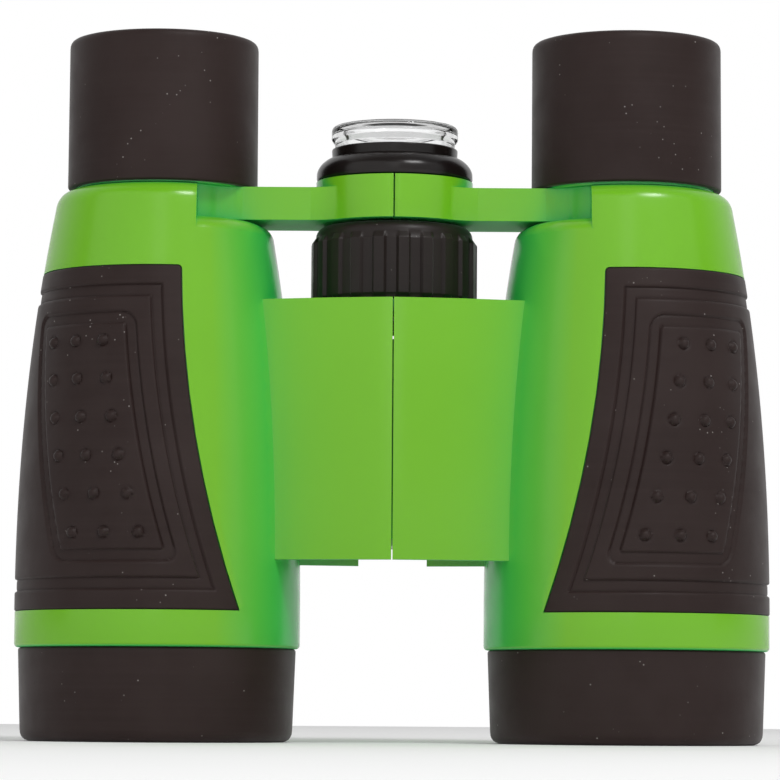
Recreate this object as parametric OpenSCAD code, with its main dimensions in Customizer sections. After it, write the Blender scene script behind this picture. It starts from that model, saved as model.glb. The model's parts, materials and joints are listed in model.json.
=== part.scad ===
// Folding Galilean binoculars with a central focus wheel and a compass, standing on their objective rims.
// The hinge axis is Z, the floor is z = 0, the eyepieces point up and the front faces -Y.

/* [Overall] */
// Distance between the two optical axes with the barrels fully open
axis_gap = 71.7; // [71:0.1:73]
// Wall thickness of the moulded shells
wall = 2; // [1.6:0.1:2.2]
// Gap between parts that move past each other on flat faces
slip = 0.1; // [0.05:0.01:0.15]
// Radial clearance of shafts that turn or slide in their bores
running = 0.06; // [0.02:0.01:0.09]

/* [Barrels] */
// Radius of the barrel just above its front band
front_r = 21.8; // [21.5:0.1:21.9]
// Radius of the barrel at the waist below the shoulder
waist_r = 17.3; // [17:0.1:17.5]
// Height of the top face of the front band
band_top = 19; // [18:0.1:19.4]
// Height of the waist
waist_z = 76.6; // [76:0.1:77]
// Exponent of the curve from band to waist
swell = 2.2; // [1.8:0.1:2.6]
// Height of the flat top of the barrel
barrel_top = 84.3; // [84:0.05:84.35]
// Radius of the rounded shoulder
shoulder_r = 3; // [2.5:0.1:3.5]

/* [Objective end] */
// Height of the rubber objective ring
ring_h = 14.1; // [13.5:0.1:14.1]
// Outer radius of the rubber ring at its top
ring_r = 21.2; // [20.8:0.1:21.4]
// Radius of the open hood in front of the lens
hood_r = 17; // [16.8:0.1:17.2]
// Radius of the objective lens
objective_r = 16.2; // [15.8:0.1:16.3]

/* [Hinge box] */
// Height of the lower edge of the hinge box
box_low = 27.4; // [26.5:0.1:28.5]
// Height of the upper edge of the hinge box
box_high = 66.9; // [66.6:0.1:66.9]
// Distance from the hinge axis to the front face at the seam
box_front = 15; // [14.5:0.1:15.2]
// Radius of the gently curved faces of the box
box_crown_r = 90; // [80:1:120]
// Angle of the face at the seam
box_crown_angle = 6.3; // [5:0.1:8]
// Lean of the faces, which stand further out at the bottom
box_lean = 1.5; // [0:0.1:2]
// Half width of the open slot down the back of the box
back_slot = 5.35; // [5.2:0.05:6]
// Radius of the hinge pin
pin_r = 2; // [1.8:0.1:2.2]

/* [Bridge] */
// Height of the underside of the bridge arms
arm_low = 79.4; // [79.4:0.02:79.48]
// Thickness of the arms
arm_h = 5.1; // [4.8:0.1:5.1]
// Half width of the arms, front to back
arm_half = 6.9; // [6.5:0.1:7.2]
// Radius of the hub on the hinge axis
hub_r = 12.1; // [12:0.1:12.3]
// Height of the top of the hub
hub_top = 86; // [85.8:0.1:86]
// Radius of the blends between arm, hub and eyepiece tube
blend_r = 8; // [6:0.5:8]

/* [Eyepieces] */
// Outer radius of the eyepiece tube
tube_r = 12; // [11.6:0.1:12]
// Radius of the neck between barrel and eyecup
neck_r = 13.5; // [13:0.1:13.8]
// Outer radius of the rubber eyecup
cup_r = 14.65; // [14.4:0.05:14.8]
// Height of the eyecup
cup_h = 23.2; // [23:0.1:24.5]

/* [Focus wheel] */
// Outer radius over the ribs
wheel_r = 12.8; // [12.5:0.1:12.9]
// Number of ribs
wheel_ribs = 21; // [16:1:24]
// Height of the top face of the wheel
wheel_top = 79; // [78.8:0.1:79]
// Radius of the focus screw
screw_r = 2.4; // [2.2:0.1:2.4]

/* [Compass] */
// Radius of the flared foot of the compass
compass_r = 12.05; // [11.8:0.05:12.1]
// Radius of the clear cover
cover_r = 9.8; // [9.6:0.1:9.9]
// Height of the top of the cover
cover_top = 94.8; // [94.4:0.1:95.6]

/* [Hidden] */
$fn = 96;
eps = 0.01;
far = 60;
eye_x = axis_gap / 2;
right = 1;
left = -1;

// Barrel
shoulder_tilt = 10.8;
shoulder_z = barrel_top - shoulder_r * (1 - sin(shoulder_tilt));
barrel_steps = 20;
top_wall = 2.4;
tube_slide = 0.35;
notch_low = arm_low - 2 * slip;
notch_x = 29.8;
notch_tilt = 9.8;

// Objective end
spigot_low = 4;
spigot_r = 19;
ring_taper = 0.5;
ring_round = 1.8;
band_round = 0.6;
lens_shelf_z = 13.6;
lens_shelf_h = 2;
lens_bore_r = objective_r + 0.3;
retainer_h = 2.2;
lens_edge = 1.4;
glass_bulge = 2;
clear_r = lens_bore_r - 1.4;
seat_slack = 0.02;
stop_z = 48;
stop_hole_r = 11;

// Grip
grip_low = 19.6;
grip_high = 71.2;
grip_proud = 0.05;
grip_sink = 0.75;
grip_gap = 0.05;
grip_edge_top = 4.13;
grip_edge_slope = 0.0135;
grip_edge_curve = 0.00317;
grip_steps = 8;
grip_corner = 0.7;

// Hinge
box_mid = (box_low + box_high) / 2;
box_reach = eye_x - 12;
web_reach = eye_x - 15;
knuckle_r = 5;
press = 0.01;
knuckle_low = 31;
knuckle_z1 = 38;
knuckle_z2 = 55;
knuckle_high = 61.4;
web = 3;
pin_head_r = 3.4;
pin_head_h = 1.4;
pin_thread_r = 1;
pin_thread_h = 6;

// Wheel and its seat
wheel_low = box_high + 0.3;
seat_r = 11.5;
seat_clear_r = 12.3;
wheel_neck_r = 4.5;
wheel_neck_low = 62.7;
clip_z = 63.9;
clip_h = 0.8;
clip_r = 6.5;
clip_groove_r = 3.7;
seat_low = 65;
rib_round = 1.2;
rib_rim_h = 0.6;
rib_depth = 0.55;
rib_turn = 0.15;
rib_gap = 1.9;
wheel_rim_r = wheel_r - 0.7;

// Hub
hub_seam = 0.1;
hub_back = 20;
lug_r = 9;
lug_clear_r = 9.3;
lug_split = 82.5;
screw_low = 66;
flange_r = 4;
flange_h = 1;
blend_bite = 0.03;
stud_r = 2;

// Eyepieces
tube_low = 70;
tube_top = 102.3;
tube_bore_r = 10.4;
left_cup_low = 84.6;
right_cup_low = 84.75;
neck_low = barrel_top + slip;
cup_round = 1.2;
cup_lip_bore = 11;
cup_neck_room = 0.7;
neck_high = left_cup_low + cup_neck_room - 0.1;
eye_shelf_z = 94;
eye_shelf_h = 1.4;
eye_lens_r = 10.3;
eye_lens_h = 2.4;
eye_ring_h = 1.8;
eye_clear_r = 8.6;

// Compass
foot_low = hub_top + 0.15;
foot_high = 89.65;
foot_edge = 1;
foot_top_r = cover_r + 0.05;
foot_flare = 1.6;
foot_floor_h = 0.8;
foot_bore_r = 8;
bowl_stem_r = 7.95;
bowl_floor_z = 88.1;
bowl_floor_h = 0.7;
bowl_bore_r = 7.2;
collar_top = 91.2;
collar_r = 9.75;
dial_r = 7.1;
dial_h = 0.4;
pivot_r = 0.35;
needle_z = 90;
needle_h = 0.25;
needle_half = 6;
needle_w = 1.3;
cover_step = 0.9;
cover_step_r = 9.3;
cover_roof = 0.9;
cover_round = 0.9;
cover_wall = 1.2;
nut_h = 1;

// Radius of the barrel's outer surface at height z
function barrel_r(z) =
    front_r - (front_r - waist_r) * pow(max(0, z - band_top) / (waist_z - band_top), swell);

// Points of the barrel's curve from z1 to z2, moved outwards by off
function barrel_curve(z1, z2, off, steps) =
    [for (i = [0:steps]) let (z = z1 + (z2 - z1) * i / steps) [barrel_r(z) + off, z]];

// Points of an arc about (x, y)
function arc(x, y, r, a1, a2, steps) =
    [for (i = [0:steps]) let (a = a1 + (a2 - a1) * i / steps) [x + r * cos(a), y + r * sin(a)]];

// Mirrors its children to the left side when side is negative
module on_side(side) {
    mirror([side < 0 ? 1 : 0, 0, 0]) children();
}

// Moves its children to the optical axis of one side
module on_axis(side) {
    translate([side * eye_x, 0, 0]) children();
}

// Flat ring or tube
module ring(r_out, r_in, low, high) {
    translate([0, 0, low]) difference() {
        cylinder(r = r_out, h = high - low);
        translate([0, 0, -1]) cylinder(r = r_in, h = high - low + 2);
    }
}

// ---- Barrels ----

// Outer solid of revolution from the band to the shoulder
module barrel_body() {
    shoulder_x = barrel_r(shoulder_z) - shoulder_r * cos(shoulder_tilt);
    shoulder_y = shoulder_z - shoulder_r * sin(shoulder_tilt);
    rotate_extrude() polygon(concat(
        [[0, ring_h + slip / 2]],
        arc(front_r - band_round, ring_h + slip / 2 + band_round, band_round, -90, 0, 4),
        barrel_curve(band_top, shoulder_z, 0, barrel_steps),
        arc(shoulder_x, shoulder_y, shoulder_r, shoulder_tilt, 90, 8),
        [[0, barrel_top]]));
}

// Hollow inside the barrel, closed by the top wall
module barrel_hollow() {
    hollow_low = lens_shelf_z + lens_shelf_h;
    hollow_high = barrel_top - top_wall;
    difference() {
        rotate_extrude() polygon(concat(
            [[0, hollow_low], [front_r - wall - 1.5, hollow_low]],
            barrel_curve(band_top + 1, hollow_high - 1, -wall, 10),
            [[barrel_r(hollow_high) - wall - 1, hollow_high], [0, hollow_high]]));
        // floor and wall of the notch
        translate([notch_x + wall - eye_x - far, -far / 2, notch_low - top_wall]) cube([far, far, far]);
    }
}

// Space of the notch for the bridge arm, with a rounded shoulder below it, right side
module notch_room() {
    cz = notch_low - shoulder_r;
    cx = barrel_r(cz + shoulder_r * sin(notch_tilt)) - shoulder_r * cos(notch_tilt) + blend_bite;
    intersection() {
        translate([eye_x, 0, 0]) rotate_extrude() polygon(concat(
            arc(cx, cz, shoulder_r, notch_tilt, 90, 8),
            [[0, notch_low], [0, 2 * far], [far, 2 * far], [far, cz + shoulder_r * sin(notch_tilt)]]));
        translate([0, -far / 2, 0]) cube([notch_x, far, 2 * far]);
    }
}

// Outline of the gripped area seen from the front, grown by gap
module grip_outline(gap) {
    low = grip_low - gap;
    high = grip_high + gap;
    edge = [for (i = [1:grip_steps])
        let (s = (grip_high - grip_low) * i / grip_steps)
        [-grip_edge_top - grip_edge_slope * s - grip_edge_curve * s * s - gap,
         i == grip_steps ? low : grip_high - s]];
    polygon(concat([[far, low], [far, high]],
                   arc(grip_corner - grip_edge_top - gap, high - grip_corner, grip_corner, 90, 180, 5),
                   edge));
}

// The gripped area as a block through the barrel, in the frame of its own axis
module grip_block(gap) {
    translate([0, far, 0]) rotate([90, 0, 0]) linear_extrude(height = 2 * far) grip_outline(gap);
}

// Skin that follows the barrel between two offsets
module barrel_skin(inner, outer) {
    low = grip_low - 1;
    high = grip_high + 1;
    rotate_extrude() polygon(concat(
        barrel_curve(low, high, outer, 12),
        barrel_curve(high, low, inner, 12)));
}

// Outline of one half of the hinge box, right side, shrunk by inset
module box_outline(inset) {
    r = box_crown_r - inset;
    cx = -box_crown_r * sin(box_crown_angle);
    cy = -box_front + box_crown_r * cos(box_crown_angle);
    intersection() {
        translate([cx, cy]) circle(r = r, $fn = 360);
        translate([cx, -cy]) circle(r = r, $fn = 360);
        translate([hub_seam, -far / 2]) square([box_reach - hub_seam, far]);
    }
}

// Leaning prism over the front or the back half of the box outline
module leaning_half(inset, low, high, back) {
    intersection() {
        rotate([back ? box_lean : -box_lean, 0, 0]) translate([0, 0, low - box_mid - 5])
            linear_extrude(height = high - low + 10) box_outline(inset);
        translate([0, back ? -eps : -far / 2, low - box_mid]) cube([far, far / 2, high - low]);
    }
}

// Solid of the hinge box half between two heights
module box_solid(inset, low, high) {
    translate([0, 0, box_mid]) {
        leaning_half(inset, low, high, false);
        leaning_half(inset, low, high, true);
    }
}

// One half of the hinge box with its knuckles, right side
module hinge_half(knuckles, seat) {
    difference() {
        box_solid(0, box_low, box_high);
        box_solid(wall, box_low - 1, seat_low);
        // slot down the back
        translate([-1, 0, box_low - 1]) cube([back_slot + 1, far, box_high]);
        // round room for the wheel's seat
        translate([0, 0, box_low - 2]) cylinder(r = seat_clear_r, h = box_high);
    }
    for (k = knuckles) {
        translate([0, 0, k[0]]) cylinder(r = knuckle_r, h = k[1] - k[0]);
        translate([0, -web / 2, k[0]]) cube([web_reach, web, k[1] - k[0]]);
    }
    if (seat) {
        translate([0, 0, seat_low]) cylinder(r = seat_r, h = box_high - seat_low);
        translate([0, -seat_r / 2, seat_low]) cube([web_reach, seat_r, box_high - seat_low]);
    }
}

// Complete barrel moulding, right side
module barrel(knuckles, seat, bore) {
    difference() {
        union() {
            translate([eye_x, 0, 0]) barrel_body();
            hinge_half(knuckles, seat);
            translate([eye_x, 0, spigot_low]) cylinder(r = spigot_r, h = ring_h);
        }
        translate([eye_x, 0, 0]) {
            barrel_hollow();
            // bore for the objective lens and its shelf
            translate([0, 0, -1]) cylinder(r = lens_bore_r, h = lens_shelf_z + 1);
            cylinder(r = clear_r, h = lens_shelf_z + lens_shelf_h + eps);
            // bore for the eyepiece tube
            translate([0, 0, notch_low - top_wall - 1]) cylinder(r = tube_r + tube_slide, h = 20);
            // recess for the grip
            intersection() {
                barrel_skin(-grip_sink - grip_gap, 5);
                grip_block(grip_gap);
            }
        }
        notch_room();
        // bores on the hinge axis
        translate([0, 0, knuckle_low - 1]) cylinder(r = bore, h = knuckle_high - knuckle_low - 1);
        if (seat) {
            translate([0, 0, knuckle_high + 0.5]) cylinder(r = wheel_neck_r + running, h = 10);
        }
    }
}

module left_barrel() {
    color("limegreen") on_side(left)
        barrel([[knuckle_low, knuckle_z1], [knuckle_z2, knuckle_high]], true, pin_r + press);
}

module right_barrel() {
    color("limegreen") on_side(right)
        barrel([[knuckle_z1 + slip, knuckle_z2 - slip]], false, pin_r + running);
}

// Rubber pad set into the outer side of the barrel
module grip() {
    translate([eye_x, 0, 0]) intersection() {
        barrel_skin(-grip_sink, grip_proud);
        grip_block(0);
    }
}

module left_grip() {
    color("dimgray") on_side(left) grip();
}

module right_grip() {
    color("dimgray") grip();
}

// ---- Objective end ----

// Rubber ring that covers the front of the barrel and forms the hood
module objective_ring(side) {
    low_r = ring_r - ring_taper;
    on_axis(side) rotate_extrude() polygon(concat(
        arc(low_r - ring_round, ring_round, ring_round, -90, 0, 6),
        [[ring_r, ring_h], [spigot_r + grip_gap, ring_h],
         [spigot_r + grip_gap, spigot_low - grip_gap], [hood_r, spigot_low - grip_gap],
         [hood_r, 0.6], [hood_r + 0.6, 0]]));
}

module left_objective_ring() {
    color("dimgray") objective_ring(left);
}

module right_objective_ring() {
    color("dimgray") objective_ring(right);
}

// Radius of a spherical face that rises by bulge over the radius r
function ball_r(r, bulge) = (r * r + bulge * bulge) / (2 * abs(bulge));

// Gap between the lens's edge and the flat seat that its convex face rests on at clear_r
function seat_gap() = let (ball = ball_r(objective_r, glass_bulge))
    sqrt(ball * ball - clear_r * clear_r) - ball + glass_bulge + seat_slack;

// Lens bounded by two spherical faces; bulge is positive for convex faces
module lens(r, edge, bulge) {
    ball = ball_r(r, bulge);
    if (bulge > 0) {
        intersection() {
            translate([0, 0, -edge / 2 - bulge]) cylinder(r = r, h = edge + 2 * bulge);
            translate([0, 0, -edge / 2 - bulge + ball]) sphere(r = ball, $fn = 180);
            translate([0, 0, edge / 2 + bulge - ball]) sphere(r = ball, $fn = 180);
        }
    } else {
        difference() {
            translate([0, 0, -edge / 2]) cylinder(r = r, h = edge);
            translate([0, 0, edge / 2 + bulge + ball]) sphere(r = ball, $fn = 180);
            translate([0, 0, -edge / 2 - bulge - ball]) sphere(r = ball, $fn = 180);
        }
    }
}

module objective_lens(side) {
    on_axis(side) translate([0, 0, lens_shelf_z - seat_gap() - lens_edge / 2])
        lens(objective_r, lens_edge, glass_bulge);
}

module left_objective_lens() {
    color("lightcyan", 0.5) objective_lens(left);
}

module right_objective_lens() {
    color("lightcyan", 0.5) objective_lens(right);
}

// Ring pressed in below the lens
module lens_retainer(side) {
    high = lens_shelf_z - lens_edge - 2 * seat_gap();
    on_axis(side) ring(lens_bore_r - grip_gap, clear_r, high - retainer_h, high);
}

module left_lens_retainer() {
    color("black") lens_retainer(left);
}

module right_lens_retainer() {
    color("black") lens_retainer(right);
}

// Disc with a hole that cuts stray light half way up the barrel
module field_stop(side) {
    r = barrel_r(stop_z + 4) - wall - 0.1;
    on_axis(side) {
        ring(r, stop_hole_r, stop_z, stop_z + 1);
        ring(r, r - 1, stop_z, stop_z + 4);
    }
}

module left_field_stop() {
    color("black") field_stop(left);
}

module right_field_stop() {
    color("black") field_stop(right);
}

// ---- Hinge ----

module hinge_pin() {
    color("silver") difference() {
        translate([0, 0, knuckle_low]) cylinder(r = pin_r, h = knuckle_high - knuckle_low - 2);
        translate([0, 0, knuckle_low - 1]) cylinder(r = pin_thread_r, h = pin_thread_h + 1);
    }
}

// Pan head screw that closes the lower end of the hinge
module hinge_screw() {
    color("silver") difference() {
        union() {
            translate([0, 0, knuckle_low - pin_head_h]) cylinder(r = pin_head_r, h = pin_head_h);
            translate([0, 0, knuckle_low - eps]) cylinder(r = pin_thread_r, h = pin_thread_h - 0.5);
        }
        for (a = [0, 90]) {
            rotate([0, 0, a]) translate([-2, -0.35, knuckle_low - pin_head_h - 1]) cube([4, 0.7, 1.7]);
        }
    }
}

// ---- Focus drive ----

// Ribbed wheel with the neck that turns in the seat and the bore that drives the screw
module focus_wheel() {
    rib_top = wheel_top - rib_round - rib_rim_h;
    color("dimgray") difference() {
        union() {
            rotate_extrude() polygon(concat(
                [[0, wheel_low], [wheel_r - 0.4, wheel_low], [wheel_r, wheel_low + 0.4],
                 [wheel_r, rib_top - 0.8], [wheel_rim_r, rib_top], [wheel_rim_r, rib_top + rib_rim_h]],
                arc(wheel_rim_r - rib_round, rib_top + rib_rim_h, rib_round, 15, 90, 4),
                [[0, wheel_top]]));
            translate([0, 0, wheel_neck_low]) cylinder(r = wheel_neck_r, h = wheel_low - wheel_neck_low + 1);
        }
        for (i = [0:wheel_ribs - 1]) {
            rotate([0, 0, 360 * (i + rib_turn) / wheel_ribs])
                translate([wheel_r - rib_depth, -rib_gap / 2, wheel_low - 1])
                    cube([5, rib_gap, rib_top - wheel_low + 0.8]);
        }
        ring(wheel_neck_r + 1, clip_groove_r, clip_z, clip_z + clip_h + 0.1);
        translate([0, 0, wheel_neck_low - 1]) cylinder(r = screw_r + running, h = far);
    }
}

// Spring clip under the seat, open at one side so that it snaps into the groove
module wheel_clip() {
    color("silver") difference() {
        ring(clip_r, clip_groove_r + 0.02, clip_z + 0.05, clip_z + 0.05 + clip_h);
        translate([0, -1.5, clip_z - 1]) cube([far, 3, 4]);
    }
}

// Screw that lifts the bridge: thread, flange under the left lug, journal and stud for the nut
module focus_screw() {
    color("silver") {
        translate([0, 0, screw_low]) cylinder(r = screw_r, h = foot_low - screw_low);
        translate([0, 0, arm_low + 0.1]) cylinder(r = flange_r, h = flange_h - 0.1);
        translate([0, 0, foot_low - 1]) cylinder(r = stud_r, h = foot_floor_h + nut_h + 1.1);
    }
}

// Hexagonal nut that clamps the compass foot to the screw
module screw_nut() {
    color("silver") difference() {
        translate([0, 0, foot_low + foot_floor_h + 0.02]) cylinder(r = 4, h = nut_h, $fn = 6);
        translate([0, 0, foot_low]) cylinder(r = stud_r + 0.02, h = 5);
    }
}

// ---- Bridge ----

// Area that rounds the corner between a straight edge y = half and a circle about the origin
module blend_area(r, half) {
    cx = sqrt(pow(r + blend_r, 2) - pow(half + blend_r, 2));
    for (s = [1, -1]) {
        difference() {
            polygon([[0, 0], [cx, 0], [cx, s * half],
                     [cx * r / (r + blend_r), s * (half + blend_r) * r / (r + blend_r)]]);
            translate([cx, s * (half + blend_r)]) circle(r = blend_r + blend_bite, $fn = 48);
        }
    }
}

// Half of the hub, right side, open at the back so that the barrels can fold
module hub_half(low, high) {
    translate([0, 0, low]) difference() {
        cylinder(r = hub_r, h = high - low);
        translate([hub_seam - far, -far, -1]) cube([far, far, far]);
        rotate([0, 0, -hub_back]) translate([-far, -hub_r / 4, -1]) cube([far, far, far]);
        translate([hub_seam - far, -1, -1]) cube([far, hub_r / 2, far]);
    }
}

// Bar from the hub to the eyepiece tube with its blends, right side
module arm_bar() {
    start = hub_r - 1.1;
    translate([0, 0, arm_low]) linear_extrude(height = arm_h) {
        translate([start, -arm_half]) square([eye_x - start - tube_r / 2, 2 * arm_half]);
        blend_area(hub_r, arm_half);
        translate([eye_x, 0]) mirror([1, 0]) blend_area(tube_r, arm_half);
    }
}

// Outside of the eyepiece tube and its neck, on the optical axis
module eyepiece_outside() {
    translate([0, 0, tube_low]) cylinder(r = tube_r, h = tube_top - tube_low);
    translate([0, 0, neck_low]) cylinder(r = neck_r, h = neck_high - neck_low);
}

// Bores of the eyepiece tube with the shelf for the lens, on the optical axis
module eyepiece_bores() {
    translate([0, 0, tube_low - 1]) cylinder(r = tube_bore_r, h = eye_shelf_z - tube_low + 1);
    translate([0, 0, eye_shelf_z - 1]) cylinder(r = eye_clear_r, h = far);
    translate([0, 0, eye_shelf_z + eye_shelf_h]) cylinder(r = tube_bore_r, h = far);
}

// One bridge arm, right side; the other arm's lug turns in the room between room_low and room_high
module arm(lug_low, lug_high, room_low, room_high, bore, flange_room) {
    difference() {
        union() {
            difference() {
                union() {
                    hub_half(arm_low, hub_top);
                    arm_bar();
                }
                translate([0, 0, room_low]) cylinder(r = lug_clear_r, h = room_high - room_low);
            }
            translate([0, 0, lug_low]) cylinder(r = lug_r, h = lug_high - lug_low);
            translate([eye_x, 0, 0]) eyepiece_outside();
        }
        translate([eye_x, 0, 0]) eyepiece_bores();
        translate([0, 0, arm_low - 1]) cylinder(r = bore, h = 10);
        if (flange_room) {
            translate([0, 0, arm_low - 1]) cylinder(r = flange_r + 0.02, h = flange_h + 1);
        }
    }
}

module left_arm() {
    color("limegreen") on_side(left)
        arm(arm_low, lug_split, lug_split, hub_top + 1, screw_r + 0.02, true);
}

module right_arm() {
    color("limegreen")
        arm(lug_split + 1.5 * slip, hub_top - slip / 2, arm_low - 1, lug_split + 1.5 * slip,
            screw_r + running, false);
}

// ---- Eyepieces ----

// Rubber cup pushed over the eyepiece tube, with room at the bottom for the neck
module eyecup(side, low) {
    high = low + cup_h;
    on_axis(side) rotate_extrude() polygon(concat(
        [[tube_r + grip_gap, low + cup_neck_room], [neck_r + grip_gap, low + cup_neck_room],
         [neck_r + grip_gap, low], [cup_r - 0.5, low], [cup_r, low + 0.5]],
        arc(cup_r - cup_round, high - cup_round, cup_round, 0, 90, 5),
        [[cup_lip_bore + 1, high], [cup_lip_bore, high - 1], [cup_lip_bore, tube_top + grip_gap],
         [tube_r + grip_gap, tube_top + grip_gap]]));
}

module left_eyecup() {
    color("dimgray") eyecup(left, left_cup_low);
}

module right_eyecup() {
    color("dimgray") eyecup(right, right_cup_low);
}

// Lens hollowed on both faces, resting on the shelf
module eye_lens(side) {
    on_axis(side) translate([0, 0, eye_shelf_z + eye_shelf_h + eye_lens_h / 2])
        lens(eye_lens_r, eye_lens_h, -0.8);
}

module left_eye_lens() {
    color("lightcyan", 0.5) eye_lens(left);
}

module right_eye_lens() {
    color("lightcyan", 0.5) eye_lens(right);
}

// Ring that holds the eye lens on its shelf
module eye_lens_ring(side) {
    low = eye_shelf_z + eye_shelf_h + eye_lens_h;
    on_axis(side) ring(eye_lens_r + 0.05, eye_clear_r, low, low + eye_ring_h);
}

module left_eye_lens_ring() {
    color("black") eye_lens_ring(left);
}

module right_eye_lens_ring() {
    color("black") eye_lens_ring(right);
}

// ---- Compass ----

// Flared foot with a floor that the nut clamps
module compass_foot() {
    color("black") rotate_extrude() polygon(concat(
        [[stud_r + 0.02, foot_low], [compass_r - 0.2, foot_low], [compass_r, foot_low + 0.2]],
        [for (a = [0:15:90]) [foot_top_r + (compass_r - foot_top_r) * pow(cos(a), foot_flare),
            foot_low + foot_edge + (foot_high - foot_low - foot_edge) * sin(a)]],
        [[foot_bore_r, foot_high], [foot_bore_r, foot_low + foot_floor_h],
         [stud_r + 0.02, foot_low + foot_floor_h]]));
}

// Bowl that holds the dial, with the dark collar above the foot
module compass_bowl() {
    color("black") rotate_extrude() polygon([
        [0, bowl_floor_z], [bowl_stem_r, bowl_floor_z], [bowl_stem_r, foot_high], [collar_r, foot_high],
        [collar_r, collar_top], [cover_step_r - cover_wall, collar_top], [bowl_bore_r, foot_high + 0.6],
        [bowl_bore_r, bowl_floor_z + bowl_floor_h], [0, bowl_floor_z + bowl_floor_h]]);
}

module compass_dial() {
    color("white") ring(dial_r, pivot_r + 0.02, bowl_floor_z + bowl_floor_h,
                        bowl_floor_z + bowl_floor_h + dial_h);
}

// Brass pin with a pointed tip that carries the needle
module compass_pivot() {
    low = bowl_floor_z + bowl_floor_h;
    color("goldenrod") rotate_extrude() polygon([
        [0, low], [pivot_r, low], [pivot_r, needle_z - 0.45], [0.12, needle_z - 0.02], [0, needle_z - 0.02]]);
}

// Clear cover with a rounded roof and a narrow step above the collar
module compass_cover() {
    step_z = collar_top + cover_step;
    color("lightcyan", 0.4) rotate_extrude() polygon(concat(
        [[cover_step_r - cover_wall, collar_top], [cover_step_r, collar_top], [cover_step_r, step_z],
         [cover_r, step_z]],
        arc(cover_r - cover_round, cover_top - cover_round, cover_round, 0, 90, 5),
        [[0, cover_top], [0, cover_top - cover_roof], [cover_step_r - cover_wall, cover_top - cover_roof]]));
}

// Pointed needle with a small cap over the pivot
module compass_needle() {
    color("red") {
        translate([0, 0, needle_z]) linear_extrude(height = needle_h)
            polygon([[0, needle_half], [needle_w / 2, 0], [0, -needle_half], [-needle_w / 2, 0]]);
        translate([0, 0, needle_z]) cylinder(r = 1, h = 0.6);
    }
}

left_barrel();
left_grip();
left_objective_ring();
left_objective_lens();
left_lens_retainer();
left_field_stop();
hinge_pin();
hinge_screw();
right_barrel();
right_grip();
right_objective_ring();
right_objective_lens();
right_lens_retainer();
right_field_stop();
focus_wheel();
wheel_clip();
left_arm();
left_eyecup();
left_eye_lens();
left_eye_lens_ring();
focus_screw();
screw_nut();
compass_foot();
compass_bowl();
compass_dial();
compass_pivot();
compass_cover();
compass_needle();
right_arm();
right_eyecup();
right_eye_lens();
right_eye_lens_ring();
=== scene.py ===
import json
import math

import bmesh
import bpy
import numpy as np
from mathutils import Matrix, Vector


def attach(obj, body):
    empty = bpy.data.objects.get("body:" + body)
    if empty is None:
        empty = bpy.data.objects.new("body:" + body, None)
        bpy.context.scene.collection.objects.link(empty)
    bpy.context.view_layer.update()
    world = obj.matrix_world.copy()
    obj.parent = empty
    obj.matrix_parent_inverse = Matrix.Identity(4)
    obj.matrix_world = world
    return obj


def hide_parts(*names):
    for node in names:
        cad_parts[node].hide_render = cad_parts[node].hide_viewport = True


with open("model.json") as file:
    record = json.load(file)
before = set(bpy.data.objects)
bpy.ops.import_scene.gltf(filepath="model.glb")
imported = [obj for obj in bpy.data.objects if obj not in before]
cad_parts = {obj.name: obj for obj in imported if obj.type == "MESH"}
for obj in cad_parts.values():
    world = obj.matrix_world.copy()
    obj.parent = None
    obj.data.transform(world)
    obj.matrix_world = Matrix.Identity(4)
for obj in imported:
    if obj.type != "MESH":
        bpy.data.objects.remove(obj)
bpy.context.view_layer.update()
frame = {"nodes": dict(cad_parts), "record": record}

MM = 0.001
scene = bpy.context.scene
nodes = frame["nodes"]

# Sizes of the part in millimetres, the same as in its source
EYE_X = 35.85
FRONT_R = 21.8
WAIST_R = 17.3
BAND_TOP = 19
WAIST_Z = 76.6
SWELL = 2.2
RUBBER_GAP = 0.05
BARREL_START = 14


# ---- Mesh helpers: all lengths in millimetres ----

# Below this radius a point of an outline is on the axis
ON_AXIS = 1e-6
# Tolerance for telling which part of an outline a point belongs to
HAIR = 0.01
# Share of an outline's side that the fillet at one end may take
FILLET_SHARE = 0.48
WELD_DISTANCE = 0.002


def make_object(name, verts, faces, smooth_angle=35):
    mesh = bpy.data.meshes.new(name)
    mesh.from_pydata([tuple(MM * c for c in v) for v in verts], [], faces)
    mesh.validate()
    obj = bpy.data.objects.new(name, mesh)
    scene.collection.objects.link(obj)
    bm = bmesh.new()
    bm.from_mesh(mesh)
    bmesh.ops.recalc_face_normals(bm, faces=bm.faces)
    sharp = math.radians(smooth_angle)
    for face in bm.faces:
        face.smooth = True
    for edge in bm.edges:
        edge.smooth = len(edge.link_faces) == 2 and edge.calc_face_angle(0) < sharp
    bm.to_mesh(mesh)
    bm.free()
    return obj


def rounded(points, steps=4):
    """A closed outline of (r, z, fillet) corners with each corner turned into an arc."""
    result = []
    count = len(points)
    for i, (r, z, fillet) in enumerate(points):
        if fillet <= 0:
            result.append((r, z))
            continue
        here = Vector((r, z))
        before = Vector(points[i - 1][:2]) - here
        after = Vector(points[(i + 1) % count][:2]) - here
        half = before.angle(after) / 2
        reach = min(fillet / math.tan(half), before.length * FILLET_SHARE, after.length * FILLET_SHARE)
        start = here + before.normalized() * reach
        end = here + after.normalized() * reach
        for k in range(steps + 1):
            t = k / steps
            point = start * (1 - t) ** 2 + here * 2 * t * (1 - t) + end * t ** 2
            result.append((point.x, point.y))
    return result


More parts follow.
